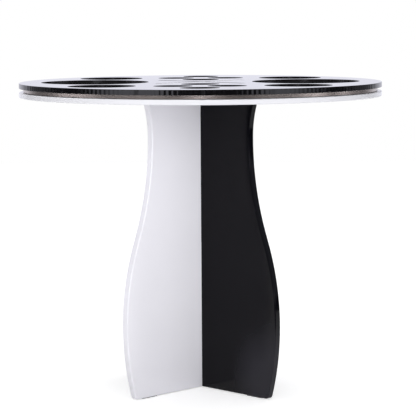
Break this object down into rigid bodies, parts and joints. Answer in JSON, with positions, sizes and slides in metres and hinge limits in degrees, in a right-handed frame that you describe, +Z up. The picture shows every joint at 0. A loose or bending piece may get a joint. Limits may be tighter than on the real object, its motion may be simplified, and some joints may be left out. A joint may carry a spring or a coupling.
{
  "type": "poker chip carousel",
  "caption": "Round turning rack with shallow wells for chips, glasses and bowls, on a foot made of crossed curved boards.",
  "frame": {"origin": "on the ground, under the turning axis of the deck", "axes": "+Z up along the turning axis; +X to the right of someone facing the rack, through the middle of a bowl well; +Y away from them"},
  "size_m": [0.3999, 0.4, 0.3422],
  "materials": {
    "black_gloss": "polished",
    "white_gloss": "polished",
    "band_metal": "satin, anodised grey",
    "plate_metal": "mill finish",
    "core_black": "sawn sheet",
    "white_satin": "sawn edge, satin",
    "black_satin": "sawn edge, satin",
    "steel": "zinc plated",
    "bright_steel": "polished",
    "brass": "turned",
    "acetal": "moulded",
    "felt": "felt",
    "floor_pad": "matt"
  },
  "bodies": {
    "foot": {"white_board": "white_gloss", "black_board": "black_gloss", "floor_pads": "floor_pad", "base_disc": "white_gloss", "board_screws": "steel", "board_inserts": "brass", "board_dowels": "steel", "glide_buttons": "acetal", "pivot_stud": "steel", "pivot_screws": "steel", "thrust_washer": "steel", "retaining_clip": "steel", "lower_race": "steel"},
    "ball_ring": {"ball_cage": "acetal", "bearing_balls": "bright_steel"},
    "carousel": {"upper_race": "steel", "pivot_bush": "acetal", "tray_plate": "plate_metal", "well_core": "core_black", "edge_band": "band_metal", "tray_screws": "steel", "hub_ring": "plate_metal", "deck": "black_gloss", "white_strip": "white_satin", "black_strip": "black_satin", "cross_screws": "steel", "bowl_felts": "felt", "glass_felts": "felt", "chip_felts": "felt"}
  },
  "joints": [
    {"name": "deck_spin", "type": "hinge", "parent": "foot", "child": "carousel", "pos_m": [0, 0, 0.3366], "axis": [0, 0, 1], "continuous": true},
    {"name": "ball_ring_spin", "type": "hinge", "parent": "foot", "child": "ball_ring", "pos_m": [0, 0, 0.3308], "axis": [0, 0, 1], "continuous": true}
  ],
  "couplings": [
    {"joint": "ball_ring_spin", "follows": "deck_spin", "ratio": 0.5}
  ]
}
